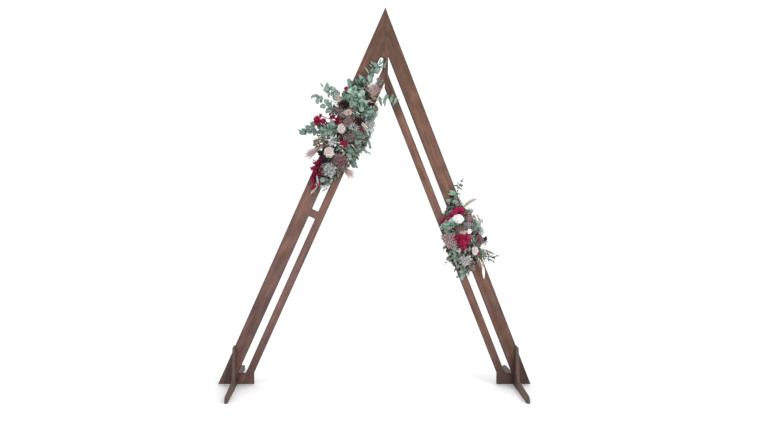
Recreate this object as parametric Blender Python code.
"""A triangular wedding arch of stained plywood with two dried-flower swags.

The panel stands in the XZ plane with its front towards -Y. Heights of the panel are
measured from its bottom edge, which the feet hold PANEL_LIFT above the ground.
"""
import math

import bmesh
import bpy
from mathutils import Matrix, Vector

# Plywood sheet and the gap left between neighbouring pieces
SHEET = 0.018
GAP = 0.0003
HALF_SHEET = SHEET / 2
FACE = HALF_SHEET + GAP

# Board edges as (X at the panel's bottom edge, change of X for each metre of height)
LEFT_EDGES = {
    "outer_out": (-0.9407, 0.4540),
    "outer_in": (-0.8512, 0.4577),
    "inner_out": (-0.8050, 0.4558),
    "inner_in": (-0.7545, 0.4544),
}
RIGHT_EDGES = {
    "outer_out": (0.9407, -0.4053),
    "outer_in": (0.8536, -0.4070),
    "inner_out": (0.8117, -0.4066),
    "inner_in": (0.7634, -0.4079),
}
SEAM_X = 0.0517
POST_LEFT_X = 0.0427
POST_RIGHT_X = 0.0702
LEFT_SLOT_TOP = 1.916
SLOT_BOTTOM = 0.066
SLOT_CORNER = 0.006
BRIDGE_HEIGHT = 0.045
LEFT_BRIDGE_Z = 1.025
RIGHT_BRIDGE_Z = 1.011
PANEL_LIFT = 0.010

# Feet
LEFT_FOOT_X = -0.838
RIGHT_FOOT_X = 0.849
FOOT_HALF_LENGTH = 0.345
FOOT_WEB = 0.040
PRONG_TOP = 0.240
PRONG_TIP_Y = 0.032
PRONG_TIP_RADIUS = 0.008
PRONG_FOOT_Y = 0.072
PRONG_FOOT_Z = 0.090
TOE_START_Y = 0.115
TOE_START_Z = 0.047
TOE_END_Z = 0.036
TOE_RADIUS = 0.030

# Joining plate behind the apex, as heights above the panel's bottom edge
PLATE_THICKNESS = 0.012
PLATE_BOTTOM = 1.940
PLATE_TOP = 2.075
PLATE_INSET = 0.016

# Swags: top and foot of the bound bundle (X, Z above the ground) and its girth
UPPER_SWAG = {"top": (-0.085, 1.800), "foot": (-0.335, 1.185), "bow": 0.075,
              "half_width": 0.105, "depth": 0.078}
LOWER_SWAG = {"top": (0.460, 1.110), "foot": (0.520, 0.685), "bow": 0.020,
              "half_width": 0.105, "depth": 0.078}
BUNDLE_STATIONS = 11
BUNDLE_SIDES = 14
BUNDLE_FULLNESS = 0.55
END_ALLOWANCE = 0.06

# Gap between the bundle and what is seated on it
SEAT_GAP = GAP + 0.0001

# Leaves and flowers: two layers behind the flower heads, as Y of their stems
LOW_LAYER = -0.022
MID_LAYER = -0.045
TWINE_RADIUS = 0.0016
STEM_RADIUS = 0.0028
SPRAY_ARCH = 0.010
LEAF_THICKNESS = 0.0036
LEAF_SLIMNESS = 0.85
LEAF_SIDES = 7
HEAD_SIDES = 11
HEAD_RINGS = 7
HEAD_STAND_OUT = 0.35
GOLDEN_ANGLE = math.radians(137.5)

COLOURS = {
    "stained_plywood": (0.195, 0.106, 0.088, 0.62, 0.0),
    "raw_plywood": (0.330, 0.205, 0.130, 0.75, 0.0),
    "filler": (0.105, 0.125, 0.095, 0.90, 0.0),
    "eucalyptus": (0.150, 0.235, 0.180, 0.70, 0.0),
    "silver_leaf": (0.420, 0.430, 0.420, 0.90, 0.0),
    "white_petal": (0.760, 0.720, 0.690, 0.80, 0.0),
    "blush_petal": (0.520, 0.400, 0.350, 0.80, 0.0),
    "crimson_petal": (0.300, 0.018, 0.065, 0.85, 0.0),
    "burgundy_petal": (0.050, 0.012, 0.018, 0.85, 0.0),
    "mauve_petal": (0.190, 0.130, 0.130, 0.90, 0.0),
    "cone_scale": (0.120, 0.080, 0.065, 0.80, 0.0),
    "dried_grass": (0.380, 0.300, 0.240, 0.90, 0.0),
    "twine": (0.480, 0.400, 0.290, 0.90, 0.0),
}


def clear_scene():
    for old in list(bpy.data.objects):
        bpy.data.objects.remove(old, do_unlink=True)


def material(slot):
    """Return the slot's material, made on first use."""
    if slot in bpy.data.materials:
        return bpy.data.materials[slot]
    red, green, blue, roughness, metallic = COLOURS[slot]
    made = bpy.data.materials.new(slot)
    made.use_nodes = True
    shader = made.node_tree.nodes["Principled BSDF"]
    shader.inputs["Base Color"].default_value = (red, green, blue, 1.0)
    shader.inputs["Roughness"].default_value = roughness
    shader.inputs["Metallic"].default_value = metallic
    return made


def add_object(name, bm, slot, smooth=False):
    """Turn a bmesh into a named object with its own material slot."""
    bmesh.ops.recalc_face_normals(bm, faces=bm.faces)
    mesh = bpy.data.meshes.new(name)
    bm.to_mesh(mesh)
    bm.free()
    if smooth:
        mesh.shade_smooth()
        mesh.set_sharp_from_angle(angle=math.radians(40))
    mesh.materials.append(material(slot))
    made = bpy.data.objects.new(name, mesh)
    bpy.context.scene.collection.objects.link(made)
    return made


def as_cutter(tool):
    tool.hide_render = True
    tool.display_type = "WIRE"
    return tool


def boolean(piece, tool, operation):
    step = piece.modifiers.new(operation.lower(), "BOOLEAN")
    step.operation = operation
    step.solver = "EXACT"
    step.object = as_cutter(tool)


def prism(points, low, high, plane="XZ"):
    """A closed prism: an outline in the XZ plane run along Y, or in YZ run along X."""
    bm = bmesh.new()
    if plane == "XZ":
        corners = [bm.verts.new((u, low, v)) for u, v in points]
        run = Vector((0, high - low, 0))
    else:
        corners = [bm.verts.new((low, u, v)) for u, v in points]
        run = Vector((high - low, 0, 0))
    face = bm.faces.new(corners)
    grown = bmesh.ops.extrude_face_region(bm, geom=[face])
    moved = [item for item in grown["geom"] if isinstance(item, bmesh.types.BMVert)]
    bmesh.ops.translate(bm, vec=run, verts=moved)
    return bm


def round_upright_edges(bm, radius, segments):
    """Round the edges that run along Y."""
    edges = []
    for edge in bm.edges:
        along = edge.verts[1].co - edge.verts[0].co
        if abs(along.y) > 0.9 * along.length:
            edges.append(edge)
    bmesh.ops.bevel(bm, geom=edges, offset=radius, offset_type="OFFSET", segments=segments,
                    profile=0.5, affect="EDGES", material=-1)


def edge_x(edge, height):
    return edge[0] + edge[1] * height


def edge_height(edge, x):
    return (x - edge[0]) / edge[1]


def crossing(edge, point, direction):
    """Where a line through a point crosses a board edge."""
    slope = edge[1]
    travel = (edge_x(edge, point[1]) - point[0]) / (direction[0] - slope * direction[1])
    return (point[0] + travel * direction[0], point[1] + travel * direction[1])


def bridge_corners(edges, height):
    """The bridge's four corners in its slot: (outer, inner) above, (outer, inner) below."""
    slope = (edges["outer_in"][1] + edges["inner_out"][1]) / 2
    along = Vector((slope, 1.0)).normalized()
    across = (along.y, -along.x)
    middle_x = (edge_x(edges["outer_in"], height) + edge_x(edges["inner_out"], height)) / 2
    corners = []
    for side in (0.5, -0.5):
        centre = (middle_x + side * BRIDGE_HEIGHT * along.x, height + side * BRIDGE_HEIGHT * along.y)
        corners.append(crossing(edges["outer_in"], centre, across))
        corners.append(crossing(edges["inner_out"], centre, across))
    return corners


def half_outline(edges, seam_x):
    base_x = edge_x(edges["inner_in"], SLOT_BOTTOM)
    return [
        (edges["outer_out"][0], 0.0),
        (seam_x, edge_height(edges["outer_out"], seam_x)),
        (seam_x, edge_height(edges["inner_in"], seam_x)),
        (base_x, SLOT_BOTTOM),
        (base_x, 0.0),
    ]


def slot_cutter(name, points):
    bm = prism(points, -SHEET, SHEET)
    round_upright_edges(bm, SLOT_CORNER, 3)
    return add_object(name, bm, "stained_plywood")


def frame_half(side, edges, seam_x, upper_slot_top, bridge_z, foot_x):
    """One half of the panel, cut from a single sheet."""
    bm = prism(half_outline(edges, seam_x), -HALF_SHEET, HALF_SHEET)
    half = add_object(side + "_frame", bm, "stained_plywood")
    outer_high, inner_high, outer_low, inner_low = bridge_corners(edges, bridge_z)
    lower_slot = [
        (edge_x(edges["outer_in"], SLOT_BOTTOM), SLOT_BOTTOM),
        outer_low,
        inner_low,
        (edge_x(edges["inner_out"], SLOT_BOTTOM), SLOT_BOTTOM),
    ]
    lap_half = HALF_SHEET + GAP
    lap_top = FOOT_WEB - PANEL_LIFT + GAP
    lap = [
        (foot_x - lap_half, -SHEET),
        (foot_x - lap_half, lap_top),
        (foot_x + lap_half, lap_top),
        (foot_x + lap_half, -SHEET),
    ]
    cutters = [
        slot_cutter(side + "_lower_slot", lower_slot),
        slot_cutter(side + "_upper_slot", [outer_high] + upper_slot_top + [inner_high]),
        add_object(side + "_foot_lap", prism(lap, -SHEET, SHEET), "stained_plywood"),
    ]
    for cutter in cutters:
        cutter.location.z = PANEL_LIFT
        boolean(half, cutter, "DIFFERENCE")
    half.location.z = PANEL_LIFT
    return half


def panel():
    left_top = [
        (edge_x(LEFT_EDGES["outer_in"], LEFT_SLOT_TOP), LEFT_SLOT_TOP),
        (POST_LEFT_X, LEFT_SLOT_TOP),
        (POST_LEFT_X, edge_height(LEFT_EDGES["inner_out"], POST_LEFT_X)),
    ]
    right_top = [
        (POST_RIGHT_X, edge_height(RIGHT_EDGES["outer_in"], POST_RIGHT_X)),
        (POST_RIGHT_X, edge_height(RIGHT_EDGES["inner_out"], POST_RIGHT_X)),
    ]
    frame_half("left", LEFT_EDGES, SEAM_X - GAP / 2, left_top, LEFT_BRIDGE_Z, LEFT_FOOT_X)
    frame_half("right", RIGHT_EDGES, SEAM_X + GAP / 2, right_top, RIGHT_BRIDGE_Z, RIGHT_FOOT_X)


def arc(centre, radius, start, stop, steps):
    """Points on an arc, angles in degrees, from start to stop."""
    points = []
    for step in range(steps + 1):
        angle = math.radians(start + (stop - start) * step / steps)
        points.append((centre[0] + radius * math.cos(angle), centre[1] + radius * math.sin(angle)))
    return points


def foot_half_outline():
    """The back half of a foot, from the lap's bottom out to the toe's tip."""
    tip = (PRONG_TIP_Y - PRONG_TIP_RADIUS, PRONG_TOP - PRONG_TIP_RADIUS)
    points = [(FACE, FOOT_WEB), (FACE, PRONG_TOP)]
    points += arc(tip, PRONG_TIP_RADIUS, 90, 15, 4)
    steps = 6
    for step in range(steps + 1):
        t = step / steps
        keep = (1 - t) ** 2
        pull = 2 * t * (1 - t)
        y = keep * PRONG_FOOT_Y + pull * (PRONG_FOOT_Y + 0.012) + t ** 2 * TOE_START_Y
        z = keep * PRONG_FOOT_Z + pull * (TOE_START_Z + 0.004) + t ** 2 * TOE_START_Z
        points.append((y, z))
    toe = (FOOT_HALF_LENGTH - TOE_RADIUS, TOE_END_Z - TOE_RADIUS)
    points += arc(toe, TOE_RADIUS, 85, 0, 5)
    points.append((FOOT_HALF_LENGTH, 0.0))
    return points


def foot(name, centre_x):
    back = foot_half_outline()
    front = [(-y, z) for y, z in reversed(back)]
    bm = prism(back + front, -HALF_SHEET, HALF_SHEET, plane="YZ")
    made = add_object(name, bm, "stained_plywood")
    made.location.x = centre_x


def joining_plate():
    outline = []
    for edges, heights in ((LEFT_EDGES, (PLATE_BOTTOM, PLATE_TOP)),
                           (RIGHT_EDGES, (PLATE_TOP, PLATE_BOTTOM))):
        inward = PLATE_INSET if edges is LEFT_EDGES else -PLATE_INSET
        for height in heights:
            outline.append((edge_x(edges["outer_out"], height) + inward, height))
    bm = prism(outline, FACE, FACE + PLATE_THICKNESS)
    plate = add_object("joining_plate", bm, "raw_plywood")
    plate.location.z = PANEL_LIFT


def bundle_station(swag, t):
    """Centre, half width and depth of a swag's bound bundle at t from top (0) to foot (1)."""
    swell = math.sin(math.pi * t) ** BUNDLE_FULLNESS
    x = swag["top"][0] + t * (swag["foot"][0] - swag["top"][0])
    x += swag["bow"] * math.sin(math.pi * t)
    z = swag["top"][1] + t * (swag["foot"][1] - swag["top"][1])
    return (x, z), swag["half_width"] * swell, swag["depth"] * swell


def bundle_front(swag, x, z):
    """How far the bundle stands out from its back plane at a point, 0 beyond its edge."""
    t = (z - swag["top"][1]) / (swag["foot"][1] - swag["top"][1])
    if t <= 0 or t >= 1:
        return 0.0
    centre, half_width, depth = bundle_station(swag, t)
    offset = (x - centre[0]) / half_width
    if abs(offset) >= 1:
        return 0.0
    return depth * math.sqrt(1 - offset ** 2)


def bundle(name, swag, grow=0.0):
    """The bound filler: flat behind, rounded in front, lofted from horizontal sections."""
    bm = bmesh.new()
    rings = []
    for station in range(BUNDLE_STATIONS):
        share = station / (BUNDLE_STATIONS - 1)
        t = END_ALLOWANCE / 2 + (1 - END_ALLOWANCE) * share
        centre, half_width, depth = bundle_station(swag, t)
        lift = grow * (1 - 2 * share)
        ring = []
        for side in range(BUNDLE_SIDES):
            angle = math.pi * side / (BUNDLE_SIDES - 1)
            x = centre[0] + (half_width + grow) * math.cos(angle)
            y = -FACE - (depth + grow) * math.sin(angle)
            if side in (0, BUNDLE_SIDES - 1):
                y += grow
            ring.append(bm.verts.new((x, y, centre[1] + lift)))
        rings.append(ring)
    for upper, lower in zip(rings, rings[1:]):
        for side in range(BUNDLE_SIDES):
            after = (side + 1) % BUNDLE_SIDES
            bm.faces.new((upper[side], upper[after], lower[after], lower[side]))
    bm.faces.new(rings[0])
    bm.faces.new(rings[-1])
    return add_object(name, bm, "filler", smooth=True)


def tube_mesh(bm, path, radius, sides, taper=1.0):
    """A closed tube along a path, its radius changing to taper times at the end."""
    rings = []
    count = len(path)
    for index, point in enumerate(path):
        before = path[max(index - 1, 0)]
        after = path[min(index + 1, count - 1)]
        forward = (after - before).normalized()
        side_axis = forward.cross(Vector((0.13, 1.0, 0.07))).normalized()
        up_axis = side_axis.cross(forward).normalized()
        size = radius * (1 + (taper - 1) * index / (count - 1))
        ring = []
        for step in range(sides):
            angle = 2 * math.pi * step / sides
            offset = side_axis * math.cos(angle) + up_axis * math.sin(angle)
            ring.append(bm.verts.new(point + size * offset))
        rings.append(ring)
    for first, second in zip(rings, rings[1:]):
        for step in range(sides):
            after = (step + 1) % sides
            bm.faces.new((first[step], first[after], second[after], second[step]))
    bm.faces.new(rings[0])
    bm.faces.new(rings[-1])


def curve_points(start, middle, end, steps):
    """Points on a quadratic curve through three control points."""
    points = []
    for step in range(steps + 1):
        t = step / steps
        keep = (1 - t) ** 2
        points.append(keep * Vector(start) + 2 * t * (1 - t) * Vector(middle) + t * t * Vector(end))
    return points


def leaf_disc(name, centre, along, radius, normal):
    """One leaf as a thin rounded disc that crosses its stem."""
    x_axis = (along - along.dot(normal) * normal).normalized()
    frame = Matrix((x_axis, normal.cross(x_axis), normal)).transposed().to_4x4()
    size = Matrix.Diagonal((radius, radius * LEAF_SLIMNESS, 1.0, 1.0))
    bm = bmesh.new()
    bmesh.ops.create_cone(bm, cap_ends=True, segments=LEAF_SIDES, radius1=1.0, radius2=1.0,
                          depth=LEAF_THICKNESS, matrix=Matrix.Translation(centre) @ frame @ size)
    leaf = as_cutter(add_object(name, bm, "eucalyptus"))
    bpy.context.scene.collection.objects.unlink(leaf)
    return leaf


def spray(name, swag, seat, start, end, leaf_radius, pairs):
    """A leafy stem from start to end; its leaf pairs begin where it leaves the bundle."""
    start, end = Vector(start), Vector(end)
    path = curve_points(start, (start + end) / 2 + Vector((0, 0, SPRAY_ARCH)), end, 3 * pairs)
    bm = bmesh.new()
    tube_mesh(bm, path[::3], STEM_RADIUS, 6, taper=0.55)
    stem = add_object(name, bm, "eucalyptus", smooth=True)
    leaves = bpy.data.collections.new(name + "_leaves")
    bpy.context.scene.collection.children.link(leaves)
    forward = (end - start).normalized()
    for pair in range(pairs):
        at = path[3 * pair + 2]
        if bundle_front(swag, at.x, at.z) > -at.y - FACE:
            continue
        share = pair / pairs
        radius = leaf_radius * (1 - 0.3 * share)
        for side in (-1, 1):
            outward = Matrix.Rotation(side * (0.95 - 0.25 * share), 3, "Y") @ forward
            normal = Vector((0.15 * math.sin(pair * GOLDEN_ANGLE + side), -1.0,
                             0.3 * side * math.cos(pair * GOLDEN_ANGLE))).normalized()
            centre = at + outward * radius * 0.8
            label = "%s_leaf_%d_%s" % (name, pair, "left" if side < 0 else "right")
            leaves.objects.link(leaf_disc(label, centre, outward, radius, normal))
    union = stem.modifiers.new("leaves", "BOOLEAN")
    union.operation = "UNION"
    union.solver = "EXACT"
    union.operand_type = "COLLECTION"
    union.collection = leaves
    boolean(stem, seat, "DIFFERENCE")


def flower_head(name, centre, radii, slot):
    """An egg-shaped head whose poles point to the front and back."""
    size = Matrix.Diagonal((*radii, 1.0))
    turn = Matrix.Rotation(math.radians(90), 4, "X")
    bm = bmesh.new()
    bmesh.ops.create_uvsphere(bm, u_segments=HEAD_SIDES, v_segments=HEAD_RINGS, radius=1.0,
                              matrix=Matrix.Translation(centre) @ size @ turn)
    return add_object(name, bm, slot, smooth=True)


def bloom(name, swag, seat, x, z, radii, slot):
    """A flower head or cone sunk part-way into the bundle's front."""
    stand = bundle_front(swag, x, z) + HEAD_STAND_OUT * radii[1]
    clear_of_board = radii[1] + 0.002
    head = flower_head(name, (x, -FACE - max(stand, clear_of_board), z), radii, slot)
    boolean(head, seat, "DIFFERENCE")


def bloom_on_stem(name, seat, centre, radii, root, slot):
    """A flower head beyond the bundle's edge, on a short stem from the bundle."""
    head = flower_head(name, centre, radii, slot)
    bm = bmesh.new()
    tube_mesh(bm, [Vector(centre), Vector(root)], STEM_RADIUS, 6)
    boolean(head, add_object(name + "_stem", bm, slot), "UNION")
    boolean(head, seat, "DIFFERENCE")


def plume(name, seat, start, middle, end, radius, taper, slot):
    """A grass head or a hanging tail: a tapering tube along a curve."""
    bm = bmesh.new()
    tube_mesh(bm, curve_points(start, middle, end, 6), radius, 8, taper=taper)
    made = add_object(name, bm, slot, smooth=True)
    boolean(made, seat, "DIFFERENCE")


def tie(name, edges, board, height):
    """Twine round a board: down one side, across the back and up the other side."""
    above = height - PANEL_LIFT
    outer = edge_x(edges[board + "_out"], above)
    inner = edge_x(edges[board + "_in"], above)
    along = Vector((edges[board + "_out"][1], 0.0, 1.0)).normalized()
    across = Vector((along.z, 0.0, -along.x))
    half_width = abs(outer - inner) * along.z / 2
    bend = TWINE_RADIUS + 2 * GAP
    half_path = [(half_width + bend, -HALF_SHEET)]
    half_path += arc((half_width, HALF_SHEET), bend, 0, 90, 2)
    centre = Vector(((outer + inner) / 2, 0.0, height))
    path = [centre - across * side + Vector((0, y, 0)) for side, y in half_path]
    path += [centre + across * side + Vector((0, y, 0)) for side, y in reversed(half_path)]
    bm = bmesh.new()
    tube_mesh(bm, path, TWINE_RADIUS, 6)
    add_object(name, bm, "twine", smooth=True)


def upper_swag():
    swag = UPPER_SWAG
    bundle("upper_swag_base", swag)
    seat = as_cutter(bundle("upper_seat", swag, grow=SEAT_GAP))
    tie("upper_tie", LEFT_EDGES, "outer", 1.330)
    tie("upper_wrap", LEFT_EDGES, "inner", 1.672)

    sprays = (
        ("upper_leaves_apex", (-0.060, LOW_LAYER, 1.740), (0.032, LOW_LAYER, 1.885), 0.017, 5),
        ("upper_spray_high", (-0.140, LOW_LAYER, 1.650), (-0.308, LOW_LAYER, 1.768), 0.020, 5),
        ("upper_spray_mid", (-0.145, MID_LAYER, 1.632), (-0.360, MID_LAYER, 1.698), 0.020, 5),
        ("upper_spray_left", (-0.200, LOW_LAYER, 1.490), (-0.432, LOW_LAYER, 1.510), 0.026, 5),
        ("upper_leaves_low", (-0.130, MID_LAYER, 1.460), (-0.035, MID_LAYER, 1.385), 0.028, 3),
        ("upper_leaves_foot", (-0.180, LOW_LAYER, 1.400), (-0.118, LOW_LAYER, 1.310), 0.024, 3),
        ("upper_twig", (-0.060, MID_LAYER, 1.680), (0.134, MID_LAYER, 1.686), 0.013, 5),
    )
    for name, start, end, leaf_radius, pairs in sprays:
        spray(name, swag, seat, start, end, leaf_radius, pairs)

    heads = (
        ("upper_white_rose_high", -0.199, 1.522, (0.026, 0.024, 0.028), "white_petal"),
        ("upper_white_rose_low", -0.268, 1.397, (0.029, 0.026, 0.030), "white_petal"),
        ("upper_blush_rose", -0.154, 1.614, (0.025, 0.022, 0.023), "blush_petal"),
        ("upper_dark_rose", -0.098, 1.562, (0.030, 0.024, 0.024), "burgundy_petal"),
        ("upper_crimson_middle", -0.213, 1.573, (0.036, 0.022, 0.017), "crimson_petal"),
        ("upper_mauve_bloom", -0.192, 1.338, (0.036, 0.024, 0.042), "mauve_petal"),
        ("upper_silver_low", -0.262, 1.293, (0.028, 0.020, 0.042), "silver_leaf"),
        ("upper_silver_right", -0.040, 1.547, (0.032, 0.024, 0.044), "silver_leaf"),
        ("upper_leaves_crown", -0.125, 1.696, (0.058, 0.030, 0.050), "eucalyptus"),
        ("upper_leaves_right", -0.045, 1.620, (0.036, 0.026, 0.028), "eucalyptus"),
    )
    for name, x, z, radii, slot in heads:
        bloom(name, swag, seat, x, z, radii, slot)
    bloom_on_stem("upper_crimson_left", seat, (-0.323, -0.070, 1.580), (0.028, 0.022, 0.028),
                  (-0.150, -0.037, 1.606), "crimson_petal")
    bloom_on_stem("upper_heather", seat, (-0.010, -0.060, 1.742), (0.044, 0.026, 0.032),
                  (-0.085, -0.035, 1.715), "mauve_petal")
    plume("upper_crimson_tail", seat, (-0.310, -0.050, 1.325), (-0.345, -0.050, 1.270),
          (-0.352, -0.030, 1.180), 0.020, 0.40, "crimson_petal")
    plume("upper_plume_left", seat, (-0.250, MID_LAYER, 1.445), (-0.350, MID_LAYER, 1.420),
          (-0.402, MID_LAYER, 1.353), 0.012, 0.25, "dried_grass")
    plume("upper_plume_low", seat, (-0.230, -0.040, 1.330), (-0.165, -0.040, 1.270),
          (-0.125, -0.030, 1.240), 0.014, 0.40, "dried_grass")


def lower_swag():
    swag = LOWER_SWAG
    bundle("lower_swag_base", swag)
    seat = as_cutter(bundle("lower_seat", swag, grow=SEAT_GAP))
    tie("lower_tie", RIGHT_EDGES, "outer", 0.900)

    sprays = (
        ("lower_sprig", (0.478, -0.037, 1.075), (0.497, -0.037, 1.230), 0.010, 6),
        ("lower_leaves_top", (0.455, LOW_LAYER, 1.060), (0.420, LOW_LAYER, 1.142), 0.021, 3),
        ("lower_leaves_right", (0.550, LOW_LAYER, 0.960), (0.620, LOW_LAYER, 0.995), 0.024, 3),
        ("lower_leaves_low", (0.500, LOW_LAYER, 0.820), (0.424, LOW_LAYER, 0.768), 0.022, 3),
        ("lower_leaves_foot", (0.520, LOW_LAYER, 0.720), (0.495, LOW_LAYER, 0.655), 0.021, 3),
        ("lower_twigs", (0.560, LOW_LAYER, 0.840), (0.706, LOW_LAYER, 0.797), 0.012, 6),
    )
    for name, start, end, leaf_radius, pairs in sprays:
        spray(name, swag, seat, start, end, leaf_radius, pairs)

    heads = (
        ("lower_white_rose", 0.473, 1.014, (0.032, 0.026, 0.026), "white_petal"),
        ("lower_white_bud", 0.567, 0.834, (0.020, 0.018, 0.024), "white_petal"),
        ("lower_crimson_bloom", 0.500, 0.886, (0.040, 0.028, 0.038), "crimson_petal"),
        ("lower_cone", 0.545, 1.026, (0.022, 0.022, 0.026), "cone_scale"),
        ("lower_mauve_bloom", 0.428, 0.903, (0.030, 0.022, 0.040), "mauve_petal"),
        ("lower_silver", 0.518, 0.775, (0.034, 0.022, 0.026), "silver_leaf"),
    )
    for name, x, z, radii, slot in heads:
        bloom(name, swag, seat, x, z, radii, slot)
    bloom_on_stem("lower_speckled_bloom", seat, (0.610, -0.048, 0.886), (0.026, 0.022, 0.027),
                  (0.540, -0.040, 0.886), "mauve_petal")
    plume("lower_crimson_band", seat, (0.388, -0.052, 0.985), (0.437, -0.066, 1.110),
          (0.496, -0.056, 1.052), 0.014, 1.0, "crimson_petal")
    plume("lower_plume", seat, (0.490, LOW_LAYER, 1.030), (0.535, LOW_LAYER, 1.105),
          (0.574, LOW_LAYER, 1.118), 0.008, 0.40, "dried_grass")
    plume("lower_blades", seat, (0.560, MID_LAYER, 0.800), (0.600, MID_LAYER, 0.740),
          (0.627, MID_LAYER, 0.658), 0.010, 0.20, "dried_grass")


clear_scene()
panel()
foot("left_foot", LEFT_FOOT_X)
foot("right_foot", RIGHT_FOOT_X)
joining_plate()
upper_swag()
lower_swag()
